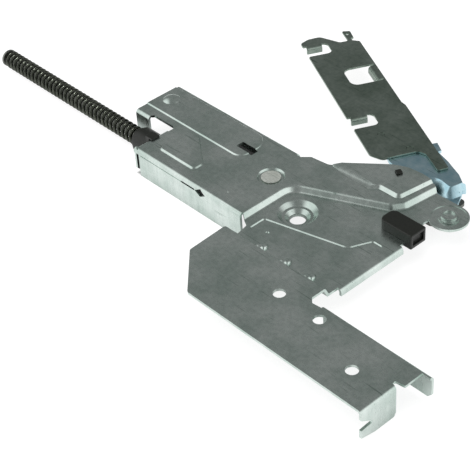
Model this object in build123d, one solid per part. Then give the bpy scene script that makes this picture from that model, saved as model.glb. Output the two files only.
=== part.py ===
"""Dishwasher door hinge: a sprung arm on a stamped steel frame.

Sizes are in millimetres. The frame is drawn from a datum beside the pivot (x = y = 0) and the
floor (z = 0); x runs along the spring towards the foot's end, y away from the foot. The arm is
drawn along x from its pivot and turned to its place at rest. On export all pieces move together,
so that the origin is midway between the foot's two screw holes.
"""
import os
from math import acos, atan2, cos, degrees, radians, sin, sqrt, tan

from build123d import *

# Stamped frame
gauge = 1.5              # sheet thickness of the frame
fold = 2.5               # outside radius of a folded edge
middle_top = 14.5        # top of the sunk middle plate and the eye
deck_top = 18.0          # top of the channel and the deck
lobe_rise = 2.0          # lobe over the lever, above the deck
strip_rise = 0.7         # raised strip of the channel, above the deck
pocket_rise = 1.0        # raised pocket of the channel, above the deck
guide_sink = 1.2         # round dimple of the guide rivet, below the deck
panel_sink = 0.6         # sunk panel of the middle plate
foot_top = 19.5          # top of the foot
channel_far = -17.5      # outside of the channel's far flange
channel_near = -79.9     # outside of the channel's near flange
channel_left = -171.0    # outside of the channel's end wall
ear_left = -200.7        # left edge of the ear
ear_near = -53.6         # outside of the ear's flange
deck_right = -77.0       # foot of the wall between deck and middle plate
plate_right = 1.6        # outside of the middle plate's flange
plate_flange = 4.5       # height of the middle plate's flange
pivot = (1.8, -0.9)      # axis that the arm turns on
eye_radius = 11.2        # rounded corner of the plate round the pivot
seat_radius = 10.2       # coined seat round the pivot rivet
seat_sink = 0.3
foot_far = -102.3        # outside of the foot's far flange
foot_near = -143.4
foot_end = 72.2          # outside of the foot's end tab
foot_flange = 14.0       # height of the foot's far flange
screw_radius = 3.5
screw_spacing = 28.6
screw_row = (-0.9, -111.6)
far_screw = (49.7, -126.2)
fixing_radius = 4.6      # fixing hole in the middle plate, sunk in two steps
fixing_hole = (-60.8, -54.2)
fixing_steps = (2.8, 2.2)

# Arm
rest_angle = 153.1       # direction of the arm at rest
swing = 153.0            # turn from rest to the open door
lever_gauge = 2.0
lever_hub_top = 12.2     # lever below the eye
lever_top = 17.5         # lever below the door plate
hub_radius = 7.8
lever_end = 86.0
door_gauge = 1.5
door_end = 195.6         # far end of the door plate, from the pivot
door_left = 22.9
door_right = -14.6
hook_slot = 12.3         # width of the two hook slots
hook_slot_places = (90.3, 175.2)
window_place = (134.3, 153.3)
lip_drop = 5.0

# Pivot, crank and slide
pivot_radius = 4.4
pivot_head = 6.2
crank_radius = 16.0
crank_pin_radius = 3.0
slide_gauge = 2.0
slide_top = 7.3
guide = (-92.1, -44.2)   # rivet that guides the slide
guide_radius = 3.0
guide_bush_radius = 4.4
running = 0.05           # radial clearance of a turning or sliding fit
clear = 0.3              # gap between pieces that move past each other

# Spring and rod
spring_axis = (-62.7, 8.3)
spring_radius = 4.65     # middle of the wire
wire = 2.1
coils = 34.25
spring_seat = -187.5     # end of the spring at the collar
spring_free = -320.5     # free end of the spring
rod_radius = 2.4
bush_radius = 8.2

# Stops
buffer_near = -33.2
buffer_far = -21.3
buffer_left = -20.0
buffer_front = 3.4
buffer_top = 20.5
buffer_low = 11.4
peg_size = 4.2
peg_place = (39.9, 13.9)  # along and across the arm at rest

# The slide follows the arm at the constant rate that keeps the crank pin nearest to the middle
# of its cross slot; the pin's largest distance from the middle sets the slot's width.
half_swing = radians(swing) / 2
slide_rate = 0.795 * crank_radius
slot_wander = sqrt(crank_radius**2 - slide_rate**2) - slide_rate * acos(slide_rate / crank_radius)
slide_stroke = 2 * half_swing * slide_rate
crank_angle = 90 + swing / 2
slide_low = slide_top - slide_gauge
lever_rise = lever_top - lever_hub_top


def outline(*corners):
    """A flat closed outline; each corner is (x, y) or (x, y, rounding radius)."""
    radii = [corner[2] if len(corner) > 2 else 0 for corner in corners]
    return make_face(FilletPolyline(*[corner[:2] for corner in corners], radius=radii, close=True))


def slab(face, low, high):
    return extrude(Pos(0, 0, low) * face, amount=high - low)


def disc(centre, radius, low, high):
    return slab(Pos(*centre) * Circle(radius), low, high)


def flat_edges(form, level):
    """The edges of a form that lie flat at a height, within the reach of the sheet."""
    flat = form.edges().filter_by(Plane.XY).filter_by_position(Axis.Z, level - 0.01, level + 0.01)
    return flat.filter_by_position(Axis.X, -225, 90).filter_by_position(Axis.Y, -150, 35)


def raised(face, base, rise, run, skin, soft=0):
    """A raised area with sloping sides and a soft upper edge, or its underside, one skin below."""
    inset = skin * tan(atan2(rise, run) / 2)
    face = offset(face, -inset) if skin else face
    pad = extrude(Pos(0, 0, base - skin) * face, amount=rise, taper=degrees(atan2(run, rise)))
    return fillet(flat_edges(pad, base + rise), soft) if soft and not skin else pad


def sunk(face, base, depth, run, skin, soft=0):
    """The hollow of a sunk area with sloping sides and a soft lower edge, or its underside."""
    inset = skin * tan(atan2(depth, run) / 2)
    face = offset(face, inset) if skin else face
    slope = degrees(atan2(run, depth))
    hollow = extrude(Pos(0, 0, base - skin) * face, amount=-depth, taper=slope)
    if soft and not skin:
        hollow = fillet(flat_edges(hollow, base - depth), soft)
    return hollow + slab(face, base - skin, base + 5)


def pip(place, base, radius, height, skin):
    """A round pressed pip, or its underside."""
    ball = (radius**2 + height**2) / (2 * height)
    return Pos(*place, base + height - ball) * Sphere(ball - skin)


def folded(start, end, top, drop, thickness=gauge):
    """A strip folded down along an edge, its outer face on the line from start to end.

    The outside lies to the left of that line; the flat plate ends one fold radius inside it.
    """
    run = Vector(*end) - Vector(*start)
    along = run.normalized()
    out = Vector(-along.Y, along.X, 0)
    inner = fold - thickness
    section = (
        Polyline((-fold, top - thickness), (-fold, top))
        + RadiusArc((-fold, top), (0, top - fold), fold)
        + Polyline((0, top - fold), (0, top - drop), (-thickness, top - drop), (-thickness, top - fold))
        + RadiusArc((-thickness, top - fold), (-fold, top - thickness), -inner)
    )
    plane = Plane(origin=(*start, 0), x_dir=out, z_dir=along)
    return extrude(plane * make_face(section), amount=run.length)


def frame_form(skin):
    """The pressed shape of the frame's upper face, or of its underside."""
    deck = outline(
        (-260, -180), (deck_right, -180), (deck_right, -43, 9), (-24.5, -18.8, 6), (-19.4, -11.2, 5),
        (-10.9, 60), (-260, 60),
    )
    lobe = outline(
        (-46.9, -18.7, 3.2), (-39.7, -11.7, 3), (-25.2, -11.6, 4), (-14.7, 60), (-110, 60), (-76, -14, 12),
    )
    ramp = Plane((-62.9, -15.5, deck_top - skin), x_dir=(29.9, -3.1, 0), z_dir=(-0.039, -0.373, 0.927))
    strip = outline(
        (-260, -44.8), (-116.6, -44.8, 7), (-116.6, channel_far - fold - 0.6, 11),
        (-260, channel_far - fold - 0.6),
    )
    pocket = outline(
        (-160, -70.8, 4), (-128, -70.8, 3), (-128, -63, 4), (-150, -46.6, 3), (-160, -46.6, 4),
    )
    panel = outline(
        (-70.5, -82, 2), (-70.5, -70.2, 2), (-20, -57, 5), (-13.8, -43.8, 2), (-6.4, -43.8, 2),
        (-6.4, -82, 2),
    )
    foot = outline((-120, -90.6), (-120, -180), (120, -180), (120, -90.6))
    form = slab(Pos(-60, -60) * Rectangle(500, 300), -10, middle_top - skin)
    first, second = fixing_steps
    form += raised(deck, middle_top, deck_top - middle_top, 2.1, skin, 2)
    form += raised(foot, middle_top, foot_top - middle_top, 2.5, skin, 2)
    form -= sunk(Pos(*fixing_hole) * Circle(11.6), middle_top, first, 2.8, skin, 0.8)
    form -= sunk(Pos(*fixing_hole) * Circle(7.2), middle_top - first, second, 2, skin)
    form = form if skin else fillet(flat_edges(form, middle_top), 1.4)
    form -= sunk(panel, middle_top, panel_sink, 0.5, skin)
    form += raised(lobe, deck_top, lobe_rise, 1.6, skin, 1) - ramp * Pos(0, 0, 50) * Box(200, 100, 100)
    form += raised(strip, deck_top, strip_rise, 0.7, skin, 0.5)
    form += raised(pocket, deck_top, pocket_rise, 1, skin, 0.8)
    form -= sunk(Pos(*guide) * Circle(8), deck_top, guide_sink, 0.9, skin)
    if not skin:
        form = fillet(flat_edges(form, deck_top).filter_by_position(Axis.X, -225, deck_right - 3), 0.5)
    form += pip((-192.4, -31.8), deck_top + strip_rise, 5, 1.1, skin)
    form += pip((-98.3, -70.1), deck_top, 2, 0.6, skin)
    for x in (-52.2, -34.2, -16.3):
        form += Pos(x, -91, middle_top + 1.2) * Sphere(2.6 - skin)
    return form


def frame_blank():
    """The frame's flat outline, up to the folded edges, with its holes."""
    blank = outline(
        (ear_left, channel_far - fold), (-96, channel_far - fold), (-93, channel_far - fold, 0.8),
        (-88.5, -15.8, 2), (-76, -14.4, 6), (-68.5, -8.6, 8), (-48.3, 8.2, 8), (-40, 12.2, 8),
        (-30, 13.2, 6), (-20.5, 12.4, 3), (-16.5, 10.4, 2), (pivot[0], pivot[1] + eye_radius), pivot,
        (-4.8, -10), (-4.8, -14.6, 2),
        (plate_right - fold, -20, 2), (plate_right - fold, -102.6, 1), (2.2, foot_far - fold - 0.6, 1),
        (8, foot_far - fold), (foot_end + 2.8, foot_far - fold), (foot_end + 2.8, -116.6, 0.5),
        (foot_end - fold - 0.4, -117.4, 0.8), (foot_end - fold, -119.6), (foot_end - fold, foot_near),
        (-50, foot_near, 3), (-74.8, -120, 3), (-76.2, -93, 1.6), (-70.2, -93.4, 1), (-72.8, -81, 1),
        (-79.5, channel_near + fold), (channel_left + fold, channel_near + fold),
        (channel_left + fold, ear_near + 3.8, 2), (-187.5, ear_near + 3.8, 0.5),
        (-188.5, ear_near + fold), (ear_left, ear_near + fold),
    )
    blank += Pos(*pivot) * Circle(eye_radius)
    for x in (-screw_spacing / 2, screw_spacing / 2):
        blank -= Pos(screw_row[0] + x, screw_row[1]) * Circle(screw_radius)
    blank -= Pos(*far_screw) * Circle(screw_radius)
    blank -= Pos(*fixing_hole) * Circle(fixing_radius)
    blank -= Pos(*guide) * Circle(guide_radius)
    blank -= Pos(*pivot) * Circle(pivot_radius)
    blank -= Pos(-121.1, -35.5) * RectangleRounded(12.6, 5.4, 0.8)
    blank -= turned(Pos(*peg_place) * Rectangle(peg_size - 1, peg_size - 1))
    return blank


def frame_plate():
    sheet = slab(frame_blank(), -5, 40) & (frame_form(0) - frame_form(gauge))
    sheet -= disc(pivot, seat_radius, middle_top - seat_sink, middle_top)
    sheet -= Pos(-60.4, -77.3, middle_top - panel_sink + 0.5) * Sphere(1.2)
    sheet += folded((ear_left, channel_far), (-96, channel_far), deck_top, deck_top)
    near = folded((-79.5, channel_near), (channel_left, channel_near), deck_top, deck_top)
    near -= Pos(channel_left, channel_near, 7) * Box(2 * 4.2, 8, 16)
    near -= Pos(-123.3, channel_near, 15) * Box(11.6, 8, 1.1)
    near -= Pos(-143, channel_near, 14.9) * Box(44, 0.8, 0.6)
    diamond = outline((-117.4, 14.9), (-112.8, 17.3), (-108.3, 14.9), (-112.8, 12.3))
    near -= extrude(Plane.XZ.offset(-channel_near) * diamond, amount=4, both=True)
    sheet += near
    wall = folded((channel_left, channel_near + 0.5), (channel_left, -55), deck_top, deck_top - 0.5)
    wall -= Pos(channel_left, *spring_axis) * Rot(0, 90, 0) * Cylinder(4.5, 10)
    wall -= Pos(channel_left, channel_near, 0) * Rot(45, 0, 0) * Box(10, 6, 6)
    sheet += wall
    sheet += folded((-189, ear_near), (ear_left, ear_near), deck_top, deck_top)
    sheet += folded((plate_right, -37), (plate_right, -84), middle_top, plate_flange)
    far = folded((8, foot_far), (foot_end + 8, foot_far), foot_top, foot_flange)
    far -= Pos(foot_end + 8, foot_far, foot_top - foot_flange) * Rot(0, 45, 0) * Box(3.4, 8, 3.4)
    sheet += far
    tab = folded((foot_end, -119.6), (foot_end, foot_near), foot_top, foot_top)
    notch = outline((-150, 13.6), (foot_near, 13.6), (-134.2, 7.6, 0.8), (foot_near, 6.9), (-150, 6.9))
    skid = outline((-150, 1.9), (foot_near, 1.9), (-134, 0), (-134, -4), (-150, -4))
    heel = outline((-121, -4), (-121, 0), (-119.4, 2.6), (-110, 2.6), (-110, -4))
    for cut in (notch, skid, heel):
        tab -= extrude(Plane.YZ.offset(foot_end) * cut, amount=4, both=True)
    return sheet + tab


def turned(shape):
    """Swing a piece of the arm from its own axes to its place at rest."""
    return Pos(*pivot) * Rot(0, 0, rest_angle) * shape


def lever_form(skin):
    """The lever's pressed shape: low round the pivot, raised under the door plate."""
    pad = outline(
        (162, 60), (31, 60), (31, 3, 5), (28, -2.4, 2), (19.5, -5), (16.4, -9), (18, -16), (24, -40),
        (162, -40),
    )
    form = slab(Pos(40, 0) * Rectangle(260, 160), -10, lever_hub_top - skin)
    return form + raised(pad, lever_hub_top, lever_rise, 4.5, skin)


def crank_place():
    angle = radians(crank_angle - rest_angle)
    return crank_radius * cos(angle), crank_radius * sin(angle)


def hinge_lever():
    edge = peg_place[1] - peg_size / 2 - clear
    blank = outline(
        (0, -hub_radius), (11.2, -9.6, 3), (20, -16.2), (20, -18.4), (22.4, -18.8), (22.6, -17.2),
        (30, -18.2), (44, -17.2), (54.5, -15.4), (55, -17.8), (63, -18.4), (63, -14.2),
        (lever_end, -12.4, 4), (lever_end, 12.4, 4), (56, edge + 2.4, 5),
        (peg_place[0] + 4, edge, 8), (18, edge - 1, 6), (0, hub_radius),
    )
    blank += Circle(hub_radius)
    blank -= Circle(pivot_radius + running)
    blank -= Pos(*crank_place()) * Circle(crank_pin_radius - 0.8)
    for place in rivet_places():
        blank -= Pos(*place) * Circle(2)
    return turned(slab(blank, 0, 40) & (lever_form(0) - lever_form(lever_gauge)))


def rivet_places():
    return (61.3, -0.9), (80, 9.7)


def door_plate():
    low, high = lever_top, lever_top + door_gauge
    first, second = hook_slot_places
    face = outline(
        (36.4, door_right, 1.5), (103.6, door_right, 1), (107.6, door_right + 1.2, 1),
        (door_end - 13.8, door_right + 1.2, 1.5), (door_end - 11.2, -9.4, 0.6), (door_end - 8.4, -9.2, 0.3),
        (door_end - 8.2, -11.2, 0.5), (door_end, -11.6, 1), (door_end + 1.6, -6.3, 1),
        (door_end - 8.4, -6.4, 0.4), (door_end - 10.8, -6, 0.8), (door_end - 10.8, -1, 2.5),
        (door_end, 9, 4), (door_end - 0.4, 17, 4), (door_end - 3.5, door_left, 2.5),
        (second + hook_slot, door_left, 1), (second + hook_slot, 7, 3.5), (second, 7, 3.5),
        (second, door_left, 1.2), (first + hook_slot, door_left, 1), (first + hook_slot, 6.8, 3.5),
        (first, 6.8, 3.5), (first, door_left, 1.2), (63.5, door_left, 4), (56.8, 17.4, 4), (57.2, -4, 3),
        (53, -7.3, 3), (36.2, -7.6, 2),
    )
    start, end = window_place
    face -= outline((start, -10.5, 0.5), (end, -10.5, 0.5), (end, 8.2, 5), (start, 8.2, 5))
    for x in (start, end - 1.5):
        face -= Pos(x + 0.75, -11) * Rectangle(1.5, 2)
    face -= Pos(door_end - 2.8, -8.6) * Circle(1.1)
    for place in rivet_places():
        face -= Pos(*place) * Circle(2)
    plate = slab(face, low, high)
    for place in hook_slot_places:
        lip = place + hook_slot - fold
        plate += folded((lip, 10.5), (lip, 20.8), high, lip_drop, door_gauge)
    plate += folded((start + 1.5, -10.5 + fold), (end - 1.5, -10.5 + fold), high, lip_drop, door_gauge)
    return turned(plate)


def plate_rivets():
    rivets = []
    for place in rivet_places():
        rivet = disc(place, 2, lever_top - lever_gauge, lever_top + door_gauge - 0.3)
        rivets.append(rivet + disc(place, 3.4, lever_top - lever_gauge - 0.8, lever_top - lever_gauge))
    return turned(Compound(children=rivets))


def pivot_rivet():
    seat = middle_top - seat_sink
    low = lever_hub_top - lever_gauge - clear
    rivet = disc(pivot, 6.2, seat, seat + 0.7) + disc(pivot, 4.7, seat, seat + 2.2)
    rivet += disc(pivot, pivot_radius, low, seat) + disc(pivot, pivot_head, low - 1.2, low)
    rivet -= disc(pivot, 3.3, seat + 0.9, seat + 5)
    return rivet + disc(pivot, 0.7, seat + 0.5, seat + 1.3)


def pivot_washer():
    top = middle_top - gauge - clear
    return disc(pivot, 7.2, lever_hub_top, top) - disc(pivot, pivot_radius + running, 0, 40)


def crank_pin():
    place = crank_place()
    under = lever_hub_top - lever_gauge
    pin = disc(place, crank_pin_radius, slide_low - clear - 1.2, under)
    return turned(pin + disc(place, crank_pin_radius - 0.8, under, lever_hub_top))


def crank_clip():
    place = crank_place()
    high = slide_low - clear
    ring = disc(place, crank_pin_radius + 2.6, high - 1, high)
    return turned(ring - disc(place, crank_pin_radius, 0, 40))


def pull_plate():
    yoke = pivot[0] - slide_rate * half_swing
    half_slot = crank_pin_radius + slot_wander + clear
    rim = half_slot + 4.5
    slot_low = pivot[1] + crank_radius * cos(half_swing) - crank_pin_radius - 0.6
    slot_high = pivot[1] + crank_radius + crank_pin_radius + 0.6
    back = channel_left + 11
    row = spring_axis[0]
    face = outline(
        (back, row - 7, 3), (-126, row - 7, 5), (-82, -54, 8), (yoke - rim, slot_low - 4.5, 6),
        (yoke + rim, slot_low - 4.5, 3), (yoke + rim, slot_high + 4.5, 3), (yoke - rim, slot_high + 4.5, 3),
        (yoke - rim - 8, 10, 4), (-84, -35, 8), (back, -35, 3),
    )
    face -= outline(
        (yoke - half_slot, slot_low, 2), (yoke + half_slot, slot_low, 2), (yoke + half_slot, slot_high, 2),
        (yoke - half_slot, slot_high, 2),
    )
    width = guide_bush_radius + 2 * running
    face -= Pos(guide[0] - slide_stroke / 2, guide[1]) * SlotCenterToCenter(slide_stroke + 1, 2 * width)
    face -= Pos(back + 8, row) * Circle(1.5)
    return slab(face, slide_low, slide_top)


def guide_rivet():
    seat = deck_top - guide_sink
    low = slide_low - clear - 1
    rivet = disc(guide, 5.8, seat, seat + 0.9) + disc(guide, guide_radius, low, seat)
    return rivet + disc(guide, 5.2, low - 1, low)


def guide_bush():
    low, high = slide_low - clear, deck_top - guide_sink - gauge
    return disc(guide, guide_bush_radius, low, high) - disc(guide, guide_radius, 0, 40)


def guide_washer():
    high = slide_low - clear
    return disc(guide, 8, high - 1, high) - disc(guide, guide_radius, 0, 40)


def along_spring(radius, start, end):
    """A round bar on the spring's axis."""
    return Pos((start + end) / 2, *spring_axis) * Rot(0, 90, 0) * Cylinder(radius, end - start)


def pull_rod():
    back = channel_left + 11
    rod = along_spring(rod_radius, spring_free - 1.5, back + 16)
    rod += along_spring(3.2, spring_free - 3, spring_free - 1.5)
    flat = Pos(back + 8, spring_axis[0], slide_top - 5) * Box(16.6, 12, 10)
    return rod - flat - disc((back + 8, spring_axis[0]), 1.5, 0, 40)


def rod_rivet():
    place = (channel_left + 19, spring_axis[0])
    high = spring_axis[1] + rod_radius
    rivet = disc(place, 1.5, slide_low, high) + disc(place, 2.6, slide_low - 0.8, slide_low)
    return rivet + disc(place, 2.2, high, high + 0.6)


def spring_bush():
    """The black bush in the end wall, with a lug that hooks over the wall's top edge."""
    row, height = spring_axis
    lug = Pos(channel_left, row - 2.5, (height + deck_top + 1.2) / 2) * Box(6.4, 6, deck_top + 1.2 - height)
    lug -= Pos(channel_left + 5, row, deck_top / 2) * Box(10, 40, deck_top)
    bush = along_spring(bush_radius, spring_seat + 3, channel_left) + lug
    bush += along_spring(4.5, channel_left, channel_left + 5)
    return bush - along_spring(rod_radius + 2 * running, spring_seat, channel_left + 10)


def spring_collar():
    ring = along_spring(6.6, spring_seat, spring_seat + 3)
    return ring - along_spring(rod_radius + 2 * running, spring_seat - 5, spring_seat + 10)


def spring_washer():
    ring = along_spring(5.6, spring_free - 1.5, spring_free)
    return ring - along_spring(rod_radius, spring_free - 5, spring_free + 5)


def coil_spring():
    length = spring_seat - spring_free - wire
    path = Helix(length / coils, length, spring_radius)
    section = Plane(path @ 0, z_dir=path % 0) * Circle(wire / 2)
    coil = sweep(section, path, is_frenet=True)
    return Pos(spring_free + wire / 2, *spring_axis) * Rot(0, 90, 0) * coil


def stop_buffer():
    width = buffer_far - buffer_near
    middle = (buffer_far + buffer_near) / 2
    edge = plate_right - fold
    plan = outline(
        (buffer_left, buffer_near, 4), (buffer_front, buffer_near, 0.8), (buffer_front, buffer_far, 0.8),
        (buffer_left, buffer_far, 4),
    )
    block = slab(plan, buffer_low, buffer_top)
    block = fillet(block.faces().sort_by(Axis.Z)[-1].edges(), 0.8)
    block -= Pos(edge - 50, middle, middle_top - gauge / 2) * Box(100, width + 4, gauge)
    block -= Pos(edge - 62, middle, buffer_low) * Box(100, width + 4, 2 * (middle_top - gauge - buffer_low))
    pocket = Pos(buffer_front, middle, (buffer_low + buffer_top) / 2) * Box(3, width - 3.6, 5.4)
    return block - pocket


def stop_peg():
    under = deck_top + lobe_rise - gauge
    peg = slab(Rectangle(peg_size, peg_size), under - 3.6, under)
    peg += slab(Rectangle(peg_size - 1, peg_size - 1), under, under + gauge)
    peg += slab(Rectangle(peg_size - 0.7, peg_size - 0.7), under + gauge, under + gauge + 1.3)
    return turned(Pos(*peg_place) * peg)


pieces = {
    "frame_plate": frame_plate,
    "door_plate": door_plate,
    "hinge_lever": hinge_lever,
    "plate_rivets": plate_rivets,
    "pivot_rivet": pivot_rivet,
    "pivot_washer": pivot_washer,
    "crank_pin": crank_pin,
    "crank_clip": crank_clip,
    "pull_plate": pull_plate,
    "guide_rivet": guide_rivet,
    "guide_bush": guide_bush,
    "guide_washer": guide_washer,
    "pull_rod": pull_rod,
    "rod_rivet": rod_rivet,
    "spring_bush": spring_bush,
    "spring_collar": spring_collar,
    "spring_washer": spring_washer,
    "coil_spring": coil_spring,
    "stop_buffer": stop_buffer,
    "stop_peg": stop_peg,
}

os.makedirs("parts", exist_ok=True)
for name, make in pieces.items():
    shape = Pos(-screw_row[0], -screw_row[1], -foot_top) * make()
    export_step(shape, f"parts/{name}.step")
    box = shape.bounding_box()
    print(name, len(shape.solids()), [round(v, 1) for v in (*box.min, *box.max)])
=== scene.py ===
# %% [markdown]
# # A dishwasher door hinge
# This lesson dresses a stamped steel hinge. The solid model is already there: every plate, rivet
# and coil has its true size and place. What is left for Blender is what the eye adds to the
# sizes: soft edges on the pressings, the finish of each metal, a studio and a camera.

# %% The solid model
import math

import bpy
from mathutils import Matrix, Vector


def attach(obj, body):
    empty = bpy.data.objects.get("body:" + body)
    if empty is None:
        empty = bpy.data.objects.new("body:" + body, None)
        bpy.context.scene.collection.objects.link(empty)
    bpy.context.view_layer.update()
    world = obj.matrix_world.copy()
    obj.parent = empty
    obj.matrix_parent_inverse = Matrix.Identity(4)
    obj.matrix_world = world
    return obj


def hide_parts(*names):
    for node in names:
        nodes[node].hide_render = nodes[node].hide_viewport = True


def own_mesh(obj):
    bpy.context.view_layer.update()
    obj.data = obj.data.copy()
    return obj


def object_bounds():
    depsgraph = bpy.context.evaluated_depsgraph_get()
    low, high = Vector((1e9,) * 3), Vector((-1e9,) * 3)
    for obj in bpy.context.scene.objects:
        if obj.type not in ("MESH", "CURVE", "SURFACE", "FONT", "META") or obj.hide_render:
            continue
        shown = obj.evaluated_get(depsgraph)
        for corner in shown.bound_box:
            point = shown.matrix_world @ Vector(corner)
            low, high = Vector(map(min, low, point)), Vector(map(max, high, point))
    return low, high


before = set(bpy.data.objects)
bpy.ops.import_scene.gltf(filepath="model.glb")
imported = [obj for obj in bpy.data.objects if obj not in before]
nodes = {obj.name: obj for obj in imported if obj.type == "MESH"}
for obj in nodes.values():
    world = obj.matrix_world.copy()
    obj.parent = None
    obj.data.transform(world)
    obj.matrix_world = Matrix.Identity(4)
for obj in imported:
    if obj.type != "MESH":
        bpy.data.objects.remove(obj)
solid_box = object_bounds()
MM = 0.001

# %% [markdown]
# ## Colours and nodes
# Colours are written as sRGB hex values, as they are read off a picture, and one function turns
# them into the linear values that shaders work with. A second small function adds a shader node,
# sets its sockets and links it, so that each finish below reads as a short list.

# %% Colour and node helpers
def colour(code):
    """Linear RGBA of an sRGB hex colour."""
    parts = [int(code[i:i + 2], 16) / 255 for i in (1, 3, 5)]
    return [p / 12.92 if p <= 0.04045 else ((p + 0.055) / 1.055) ** 2.4 for p in parts] + [1]


def add(tree, kind, links=(), ramp=(), **settings):
    """Adds a node; settings are attributes or sockets, links are pairs of socket and source."""
    made = tree.nodes.new(kind)
    for name, value in settings.items():
        if hasattr(made, name):
            setattr(made, name, value)
        else:
            made.inputs[name.replace("_", " ")].default_value = value
    for socket, source in links:
        tree.links.new(source, made.inputs[socket])
    for index, (place, code) in enumerate(ramp):
        stop = made.color_ramp.elements[index] if index < 2 else made.color_ramp.elements.new(place)
        stop.position = place
        stop.color = colour(code)
    return made


def new_material(name):
    """An empty material with its output node."""
    material = bpy.data.materials.new(name)
    material.use_nodes = True
    material.node_tree.nodes.clear()
    return material, material.node_tree


# %% [markdown]
# ## Zinc-coated steel sheet
# The frame is pressed from hot-dip galvanised sheet. Clean zinc is a light metal with a satin
# gloss: it looks dark where it mirrors a dim ceiling and nearly white where it mirrors a pale
# floor, so most of its shading is left to the reflections. On top of that come a faint cloud of
# zinc crystals a few millimetres wide, very fine rolling lines, a few dull stains and the fine
# scratches of handling. One function makes this finish, so that the darker door plate and the blue
# lever share its build and differ only in colour, gloss and grain.

# %% Sheet metal
def sheet_metal(name, dark, light, rough, cloud_mm, grain_turn, stain, metal=1.0):
    """Coated sheet: clouds of two near tones, rolling lines, soft stains and fine scratches."""
    material, tree = new_material(name)
    place = add(tree, "ShaderNodeTexCoord")
    # Squeezed in height, the clouds of a level face turn into drawn streaks on a folded one.
    drawn = add(
        tree, "ShaderNodeMapping", [("Vector", place.outputs["Object"])], Scale=(1, 1, 0.12),
    )
    cloud = add(
        tree, "ShaderNodeTexNoise", [("Vector", drawn.outputs["Vector"])],
        Scale=1 / (cloud_mm * MM), Detail=4.0, Roughness=0.6,
    )
    turned = add(
        tree, "ShaderNodeMapping", [("Vector", place.outputs["Object"])],
        Rotation=(0, 0, math.radians(grain_turn)), Scale=(0.08, 1, 1),
    )
    # Rolling lines are about 0.1 mm apart; they are drawn at 0.7 mm so that they show.
    grain = add(
        tree, "ShaderNodeTexNoise", [("Vector", turned.outputs["Vector"])],
        Scale=1 / (0.7 * MM), Detail=2.0, Roughness=0.5,
    )
    patch = add(
        tree, "ShaderNodeTexNoise", [("Vector", place.outputs["Object"])],
        Scale=1 / (30 * MM), Detail=3.0, Roughness=0.6,
    )
    blend = add(
        tree, "ShaderNodeMix", [(2, cloud.outputs["Fac"]), (3, grain.outputs["Fac"])], Factor=0.25,
    )
    tone = add(
        tree, "ShaderNodeValToRGB", [("Fac", blend.outputs[0])], ramp=[(0.3, dark), (0.7, light)],
    )
    spot = add(
        tree, "ShaderNodeValToRGB", [("Fac", patch.outputs["Fac"])],
        ramp=[(0.38, stain), (0.62, "#ffffff")],
    )
    mixed = add(
        tree, "ShaderNodeMix",
        [(6, tone.outputs["Color"]), (7, spot.outputs["Color"])],
        data_type="RGBA", blend_type="MULTIPLY", Factor=1.0,
    )
    # Scratches are 10 to 20 mm long and run across the rolling lines.
    crossed = add(
        tree, "ShaderNodeMapping", [("Vector", place.outputs["Object"])],
        Rotation=(0, 0, math.radians(grain_turn + 62)), Scale=(0.03, 1, 1),
    )
    handled = add(
        tree, "ShaderNodeTexNoise", [("Vector", crossed.outputs["Vector"])],
        Scale=1 / (0.8 * MM), Detail=1.0, Roughness=0.4,
    )
    scratch = add(
        tree, "ShaderNodeValToRGB", [("Fac", handled.outputs["Fac"])],
        ramp=[(0.70, "#ffffff"), (0.76, "#c2cac6")],
    )
    worn = add(
        tree, "ShaderNodeMix",
        [(6, mixed.outputs[2]), (7, scratch.outputs["Color"])],
        data_type="RGBA", blend_type="MULTIPLY", Factor=1.0,
    )
    gloss = add(
        tree, "ShaderNodeMapRange", [("Value", cloud.outputs["Fac"])],
        From_Min=0.3, From_Max=0.7, To_Min=rough - 0.03, To_Max=rough + 0.05,
    )
    bump = add(
        tree, "ShaderNodeBump", [("Height", blend.outputs[0])], Strength=0.02, Distance=0.05 * MM,
    )
    skin = add(
        tree, "ShaderNodeBsdfPrincipled",
        [
            ("Base Color", worn.outputs[2]), ("Roughness", gloss.outputs["Result"]),
            ("Normal", bump.outputs["Normal"]),
        ],
        Metallic=metal,
    )
    add(tree, "ShaderNodeOutputMaterial", [("Surface", skin.outputs[0])])
    return material


galvanised = sheet_metal("galvanised_sheet", "#c3cec9", "#dbe5e0", 0.27, 2.5, 0, "#dfe6e3")
dark_zinc = sheet_metal("dark_zinc_plate", "#84938a", "#a3afa5", 0.30, 2.5, 27, "#d6dcd7")
blue_zinc = sheet_metal("blue_zinc_lever", "#a2cad6", "#d2e8ee", 0.30, 5.0, 27, "#dde8ec")
rivet_zinc = sheet_metal("matt_zinc_rivet", "#b2b6b0", "#d6d9d4", 0.55, 1.5, 0, "#dfe2dd", 0.4)
dull_steel = sheet_metal("dull_inner_steel", "#7d807b", "#93968f", 0.40, 4.0, 0, "#d0d0d0")
sheets = [galvanised, dark_zinc, blue_zinc, rivet_zinc, dull_steel]
print("sheet finishes:", [finish.name for finish in sheets])

# %% [markdown]
# ## Oiled spring wire and moulded plastic
# The coil spring is black oiled wire: dark, with sharp lights along each turn. The bush and its
# collar, the stop buffer and the peg are moulded black plastic with a fine sand texture.

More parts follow.
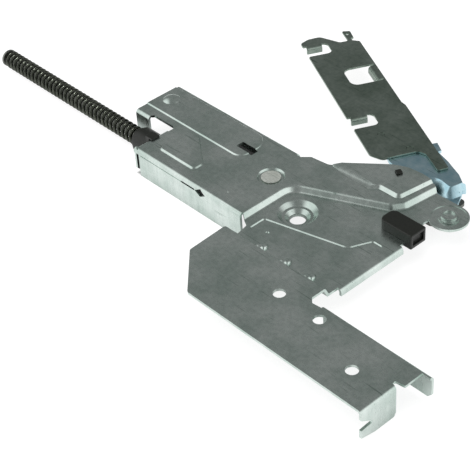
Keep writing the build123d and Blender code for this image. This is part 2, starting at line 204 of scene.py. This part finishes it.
# %% Wire and plastic
def spring_wire():
    """Black oiled wire with a little wear of bare steel."""
    material, tree = new_material("oiled_spring_wire")
    place = add(tree, "ShaderNodeTexCoord")
    wear = add(
        tree, "ShaderNodeTexNoise", [("Vector", place.outputs["Object"])],
        Scale=1 / (2.5 * MM), Detail=5.0, Roughness=0.65,
    )
    tone = add(
        tree, "ShaderNodeValToRGB", [("Fac", wear.outputs["Fac"])],
        ramp=[(0.35, "#3a3d36"), (0.7, "#585c53")],
    )
    gloss = add(
        tree, "ShaderNodeMapRange", [("Value", wear.outputs["Fac"])],
        From_Min=0.3, From_Max=0.7, To_Min=0.18, To_Max=0.28,
    )
    skin = add(
        tree, "ShaderNodeBsdfPrincipled",
        [("Base Color", tone.outputs["Color"]), ("Roughness", gloss.outputs["Result"])],
        Metallic=1.0,
    )
    add(tree, "ShaderNodeOutputMaterial", [("Surface", skin.outputs[0])])
    return material


def moulded_plastic():
    """Black moulded plastic with a sand-blasted texture of about 0.4 mm."""
    material, tree = new_material("moulded_black_plastic")
    place = add(tree, "ShaderNodeTexCoord")
    sand = add(
        tree, "ShaderNodeTexNoise", [("Vector", place.outputs["Object"])],
        Scale=1 / (0.4 * MM), Detail=3.0, Roughness=0.6,
    )
    tone = add(
        tree, "ShaderNodeValToRGB", [("Fac", sand.outputs["Fac"])],
        ramp=[(0.3, "#0f120e"), (0.7, "#1d201b")],
    )
    bump = add(
        tree, "ShaderNodeBump", [("Height", sand.outputs["Fac"])],
        Strength=0.15, Distance=0.05 * MM,
    )
    skin = add(
        tree, "ShaderNodeBsdfPrincipled",
        [("Base Color", tone.outputs["Color"]), ("Normal", bump.outputs["Normal"])],
        Roughness=0.42, IOR=1.46,
    )
    add(tree, "ShaderNodeOutputMaterial", [("Surface", skin.outputs[0])])
    return material


black_wire = spring_wire()
black_plastic = moulded_plastic()
print("dark finishes:", black_wire.name, black_plastic.name)

# %% [markdown]
# ## Finishes on the solids
# Each solid takes one finish. Its own material slots are overwritten, and nothing of its shape
# changes.

# %% Giving out the finishes
finishes = {
    galvanised: ["frame_plate", "pivot_rivet"],
    dark_zinc: ["door_plate", "plate_rivets"],
    blue_zinc: ["hinge_lever"],
    rivet_zinc: ["guide_rivet"],
    dull_steel: [
        "spring_washer", "pull_plate", "pivot_washer", "crank_pin", "crank_clip", "guide_bush",
        "guide_washer", "pull_rod", "rod_rivet",
    ],
    black_wire: ["coil_spring"],
    black_plastic: ["spring_bush", "spring_collar", "stop_buffer", "stop_peg"],
}
for finish, names in finishes.items():
    for name in names:
        nodes[name].data.materials.clear()
        nodes[name].data.materials.append(finish)
print("finished solids:", sum(len(names) for names in finishes.values()), "of", len(nodes))

# %% [markdown]
# ## Soft edges
# A solid has edges of no width, and a real stamping never does: the die rounds one side and leaves
# a small burr on the other, and those narrow bands catch the light. Each piece that the eye
# reaches is copied, its loose triangles are merged into plain faces, and a Bevel modifier rounds
# the edges. The frame's pressed edges are round in the solid already, so it only gets clean
# shading: hard edges are marked by their angle, and weighted normals keep the flats flat. The copy
# then stands for the solid, which stays in place for the physics.

# %% Copying a solid
HARD_EDGE = math.radians(35)         # an edge that turns by more keeps a hard line
ROUNDED_EDGE = math.radians(40)      # an edge that turns by more is rounded
FLAT = math.radians(0.5)             # triangles that turn by less become one face
SAME_POINT = 0.002 * MM


def merged_copy(name, body):
    """A copy of a solid with its triangles merged, shown in the solid's place."""
    piece = bpy.data.objects.new(name + "_soft", nodes[name].data.copy())
    bpy.context.scene.collection.objects.link(piece)
    bpy.ops.object.select_all(action="DESELECT")
    piece.select_set(True)
    bpy.context.view_layer.objects.active = piece
    bpy.ops.mesh.customdata_custom_splitnormals_clear()
    bpy.ops.object.mode_set(mode="EDIT")
    bpy.ops.mesh.select_mode(type="EDGE")
    bpy.ops.mesh.select_all(action="SELECT")
    bpy.ops.mesh.remove_doubles(threshold=SAME_POINT)
    bpy.ops.mesh.mark_sharp(clear=True)
    bpy.ops.object.mode_set(mode="OBJECT")
    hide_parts(name)
    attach(piece, body)
    return piece


def smooth_between_hard_edges():
    """Shades the active piece smooth, apart from its hard edges."""
    bpy.ops.object.shade_smooth()
    bpy.ops.object.mode_set(mode="EDIT")
    bpy.ops.mesh.select_all(action="DESELECT")
    bpy.ops.mesh.edges_select_sharp(sharpness=HARD_EDGE)
    bpy.ops.mesh.mark_sharp()
    bpy.ops.object.mode_set(mode="OBJECT")


print("hard edges turn by more than", round(math.degrees(HARD_EDGE)), "degrees")

# %% [markdown]
# With those two functions, a rounded copy is a short list of steps. The widths are small and differ
# by piece: a thick plate is rounder at its edge than a thin rivet head.

# %% Copies with rounded edges
def softened(name, body, width):
    """A copy of a solid with its sharp edges rounded to a width in millimetres."""
    piece = merged_copy(name, body)
    bpy.ops.object.mode_set(mode="EDIT")
    bpy.ops.mesh.select_all(action="SELECT")
    bpy.ops.mesh.dissolve_limited(angle_limit=FLAT)
    bpy.ops.object.mode_set(mode="OBJECT")
    if width:
        rounding = piece.modifiers.new("rounded_edges", "BEVEL")
        rounding.limit_method = "ANGLE"
        rounding.angle_limit = ROUNDED_EDGE
        rounding.width = width * MM
        rounding.segments = 2
        rounding.use_clamp_overlap = False
        bpy.ops.object.modifier_apply(modifier=rounding.name)
    smooth_between_hard_edges()
    flats = piece.modifiers.new("flat_faces_stay_flat", "WEIGHTED_NORMAL")
    flats.keep_sharp = True
    flats.weight = 100
    bpy.ops.object.modifier_apply(modifier=flats.name)
    return piece


# Widths in millimetres, by body and piece.
soft_widths = {
    "frame": {
        "frame_plate": 0, "pivot_rivet": 0.25, "guide_rivet": 0.3, "stop_buffer": 0.3,
        "spring_bush": 0.4, "stop_peg": 0.3, "spring_collar": 0.4,
    },
    "arm": {"door_plate": 0.45, "hinge_lever": 0.3, "plate_rivets": 0.2},
    "slide": {"spring_washer": 0.3, "pull_rod": 0.2},
}
for body, widths in soft_widths.items():
    for name, width in widths.items():
        piece = softened(name, body, width)
        print(piece.name, len(piece.data.polygons), "faces")

# %% [markdown]
# ## The spring
# When the door opens, the rod is drawn into the channel and presses the spring shorter from its
# free end. Here the spring is copied like the other pieces, its triangles merged, and it is shaded
# smooth between its hard edges.

# %% The spring's copy
coil = merged_copy("coil_spring", "frame")
smooth_between_hard_edges()
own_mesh(coil)

# %% [markdown]
# ## Blisters in the sheet
# Where the foot steps up from the middle plate, the press leaves three short rounded ribs that keep
# the bend from opening, and a round pip stands on the deck near the spring. Each is a blister in
# the sheet. It starts as a ball, is drawn to its length, width and height, and everything below the
# plate is cut away, so that only the blister stands on the metal. One rib is modelled, and the
# others are copies with their own mesh. The pip is the cap of a larger ball, so it is sunk deeper.

# %% Three ribs and a pip
root = 0.3 * MM                      # how far a blister reaches into the sheet


def blister(name, place, radii, sunk=0):
    """A ball of three radii in millimetres, sunk in the sheet and cut off just below its face."""
    bpy.ops.object.select_all(action="DESELECT")
    bpy.ops.mesh.primitive_uv_sphere_add(segments=64, ring_count=64, radius=MM, location=(0, 0, 0))
    made = bpy.context.object
    made.name = name
    bpy.ops.object.mode_set(mode="EDIT")
    bpy.ops.mesh.select_all(action="SELECT")
    bpy.ops.transform.resize(value=radii)
    bpy.ops.transform.translate(value=(place[0], place[1], place[2] - sunk * MM))
    bpy.ops.mesh.bisect(
        plane_co=(0, 0, place[2] - root), plane_no=(0, 0, 1), clear_inner=True, use_fill=True,
    )
    bpy.ops.object.mode_set(mode="OBJECT")
    bpy.ops.object.shade_smooth_by_angle(angle=HARD_EDGE)
    return made


middle_plate = -5.0 * MM             # height of the middle plate
rib_line = 22.4 * MM                 # the ribs' middles, from the screw row towards the pivot
first_rib, rib_pitch = -51.3 * MM, 18.0 * MM
rib_radii = (2.4, 4.2, 2.2)          # half width, half length and height
pip_place = (-191.5 * MM, 79.8 * MM, -0.8 * MM)
pip_radii, pip_sunk = (8.8, 8.8, 8.8), 6.8
rib = blister("joggle_rib_1", (first_rib, rib_line, middle_plate), rib_radii)
ribs_and_pip = [rib, blister("deck_pip", pip_place, pip_radii, pip_sunk)]
for step in (1, 2):
    other = bpy.data.objects.new(f"joggle_rib_{step + 1}", rib.data.copy())
    bpy.context.scene.collection.objects.link(other)
    other.data.transform(Matrix.Translation((step * rib_pitch, 0, 0)))
    ribs_and_pip.append(other)
for rib in ribs_and_pip:
    rib.data.materials.append(galvanised)
    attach(rib, "frame")
print("blisters:", [rib.name for rib in ribs_and_pip])

# %% [markdown]
# ## Studio
# The hinge lies on a pale floor. Metal shows its surroundings more than its own colour, so the room
# matters more than the lamps. The level plates mirror the dim far side of the room, and two wide
# windows, one near on the left and one low on the right, are mirrored in the slopes and folds.
#
# The floor comes first. It is white to the camera and in the metal, with a painted shade under the
# closed channel and, in the metal, under the plates, where little light reaches it.

# %% Floor
FLOOR_SIZE = 40                      # metres, so that its edge stays out of sight
FLOOR_WHITE = 0.84                   # with the light that falls on it, the floor is just white
# painted shade: the floor's glow under the closed channel
PAINTED_SHADE_UNDER_CHANNEL = 0.02
# middle and half size of the box of painted shade under the channel
channel_middle = (-0.133, 0.063, 0)
channel_half = (0.037, 0.031, 1)


def flat_floor(height):
    """A wide floor just under the hinge, white to the camera and in the metal."""
    bpy.ops.object.select_all(action="DESELECT")
    bpy.ops.mesh.primitive_plane_add(size=FLOOR_SIZE, location=(0, 0, height))
    floor = bpy.context.object
    floor.name = "studio_floor"
    bpy.ops.object.transform_apply(location=True, rotation=True, scale=True)
    material, tree = new_material("pale_floor")
    # Under the closed channel no light reaches the floor, so its glow is dropped there: a painted
    # shade.
    place = add(tree, "ShaderNodeTexCoord")
    painted_shade_box = add(
        tree, "ShaderNodeMapping", [("Vector", place.outputs["Object"])],
        vector_type="TEXTURE", Location=channel_middle, Scale=channel_half,
    )
    span = add(tree, "ShaderNodeVectorMath", [(0, painted_shade_box.outputs[0])], operation="ABSOLUTE")
    sides = add(tree, "ShaderNodeSeparateXYZ", [("Vector", span.outputs[0])])
    painted_shade_edge = add(
        tree, "ShaderNodeMath", [(0, sides.outputs["X"]), (1, sides.outputs["Y"])],
        operation="MAXIMUM",
    )
    # painted shade: white glow outside the channel's box, dark glow inside it
    floor_white_and_painted_shade = add(
        tree, "ShaderNodeMapRange", [("Value", painted_shade_edge.outputs[0])],
        From_Min=0.96, From_Max=1.02, To_Min=PAINTED_SHADE_UNDER_CHANNEL, To_Max=FLOOR_WHITE,
    )
    # Seen in the metal, the floor is white beside the plates, with a painted shade under them that
    # follows the occlusion there.
    rays = add(tree, "ShaderNodeLightPath")
    painted_shade_cover = add(tree, "ShaderNodeAmbientOcclusion", samples=4, Distance=0.05)
    # painted shade: occlusion dims the mirrored floor's glow, down to a quarter
    lit = add(
        tree, "ShaderNodeMapRange", [("Value", painted_shade_cover.outputs["AO"])],
        From_Min=0.1, From_Max=0.6, To_Min=0.25, To_Max=1.0,
    )
    bounced = add(
        tree, "ShaderNodeMath",
        [(0, rays.outputs["Is Glossy Ray"]), (1, rays.outputs["Is Transmission Ray"])],
        operation="MAXIMUM",
    )
    mirrored = add(
        tree, "ShaderNodeMath", [(0, bounced.outputs[0]), (1, lit.outputs["Result"])],
        operation="MULTIPLY",
    )
    shown = add(
        tree, "ShaderNodeMath", [(0, rays.outputs["Is Camera Ray"]), (1, mirrored.outputs[0])],
        operation="MAXIMUM",
    )
    glow = add(
        tree, "ShaderNodeMath", [(0, shown.outputs[0]), (1, floor_white_and_painted_shade.outputs["Result"])],
        operation="MULTIPLY",
    )
    matt = add(tree, "ShaderNodeBsdfDiffuse", Color=(0.3, 0.3, 0.3, 1))
    light = add(
        tree, "ShaderNodeEmission", [("Strength", glow.outputs[0])], Color=(1, 1, 1, 1),
    )
    both = add(tree, "ShaderNodeAddShader", [(0, matt.outputs[0]), (1, light.outputs[0])])
    # From below, the floor is clear, so that the hinge's underside can be looked at.
    side = add(tree, "ShaderNodeNewGeometry")
    clear = add(tree, "ShaderNodeBsdfTransparent")
    sheet = add(
        tree, "ShaderNodeMixShader",
        [(0, side.outputs["Backfacing"]), (1, both.outputs[0]), (2, clear.outputs[0])],
    )
    add(tree, "ShaderNodeOutputMaterial", [("Surface", sheet.outputs[0])])
    floor.data.materials.append(material)


floor_height = solid_box[0][2]
flat_floor(floor_height)
print("floor at", round(floor_height / MM, 1), "mm")

# %% [markdown]
# A wide lamp overhead lights the black pieces, and a small one the spring. The room is a function
# of direction only: a dim level everywhere, and one soft patch of light for each window.

# %% Lamps and room
ROOM_LEVEL = 0.27


def soft_lamp(name, place, target, size, watts, mirrored):
    """A square area lamp that faces a target."""
    lamp = bpy.data.lights.new(name, "AREA")
    lamp.shape = "SQUARE"
    lamp.size = size
    lamp.energy = watts
    made = bpy.data.objects.new(name, lamp)
    made.location = place
    made.rotation_euler = (Vector(target) - Vector(place)).to_track_quat("-Z", "Y").to_euler()
    made.visible_glossy = mirrored
    bpy.context.scene.collection.objects.link(made)
    return made


def room(windows):
    """A dim room with wide windows, each a direction, a strength and two cosines."""
    world = bpy.data.worlds.new("studio_room")
    bpy.context.scene.world = world
    world.use_nodes = True
    tree = world.node_tree
    tree.nodes.clear()
    place = add(tree, "ShaderNodeTexCoord")
    level = add(tree, "ShaderNodeMath", operation="ADD")
    level.inputs[0].default_value = ROOM_LEVEL
    for towards, strength, start, full in windows:
        facing = add(
            tree, "ShaderNodeVectorMath", [(0, place.outputs["Generated"])],
            operation="DOT_PRODUCT",
        )
        facing.inputs[1].default_value = Vector(towards).normalized()
        window = add(
            tree, "ShaderNodeMapRange", [("Value", facing.outputs["Value"])],
            From_Min=start, From_Max=full, To_Min=0.0, To_Max=strength,
            interpolation_type="SMOOTHSTEP",
        )
        tree.links.new(window.outputs["Result"], level.inputs[1])
        level = add(tree, "ShaderNodeMath", [(0, level.outputs[0])], operation="ADD")
    level.inputs[1].default_value = 0.0
    lit = add(tree, "ShaderNodeBackground", [("Strength", level.outputs[0])], Color=(1, 1, 1, 1))
    add(tree, "ShaderNodeOutputWorld", [("Surface", lit.outputs[0])])


# The cosines say where a window starts and where it is full.
near_left = ((-0.60, -0.60, 0.50), 0.95, 0.68, 0.92)
low_right = ((0.93, 0.32, 0.18), 1.0, 0.6, 0.92)
hinge_middle, spring_middle = (-0.12, 0.06, 0), (-0.24, 0.06, 0)
# Mirrored in the metal, the wide lamp would draw hard white lines along every fold.
soft_lamp("overhead_lamp", (-0.2, -0.3, 1.4), hinge_middle, 1.4, 14, False)
spring_lamp = soft_lamp("spring_lamp", (-0.84, 0.10, 0.80), spring_middle, 0.3, 7, True)
# This small one is mirrored once in each turn of the spring, and it lights nothing else.
lit_pieces = bpy.data.collections.new("lit_by_spring_lamp")
lit_pieces.objects.link(coil)
spring_lamp.light_linking.receiver_collection = lit_pieces
room([near_left, low_right])
print("studio: two lamps and two windows")

# %% [markdown]
# ## Camera
# The camera stands where the photograph's did: about 39 degrees above the floor, to the near right
# of the foot, with a slight roll. Its three axes were found by matching holes and corners.

# %% Camera at the photograph's angle
photo_camera = bpy.data.cameras.new("photo_camera")
photo_camera.sensor_fit = "HORIZONTAL"
photo_camera.sensor_width = 36
photo_camera.lens = 111.2
photo_camera.clip_start = 0.01
camera = bpy.data.objects.new("photo_camera", photo_camera)
right = Vector((0.674986, 0.735643, -0.056782))
up = Vector((-0.431095, 0.455662, 0.778800))
back = Vector((0.598791, -0.501200, 0.624698))
turn = Matrix((right, up, back)).transposed().to_4x4()
camera_place = (0.39852, -0.37200, 0.48401)
camera.matrix_world = Matrix.Translation(camera_place) @ turn
bpy.context.scene.collection.objects.link(camera)
bpy.context.scene.camera = camera
bpy.context.scene.view_settings.view_transform = "Standard"
print("camera lens", photo_camera.lens, "mm")

# %% [markdown]
# ## Sizes
# The dressed hinge must keep the solid model's size; the solid model's box is printed here.

# %% The solid model's box
print("solid box", [[round(v / MM, 1) for v in p] for p in solid_box])
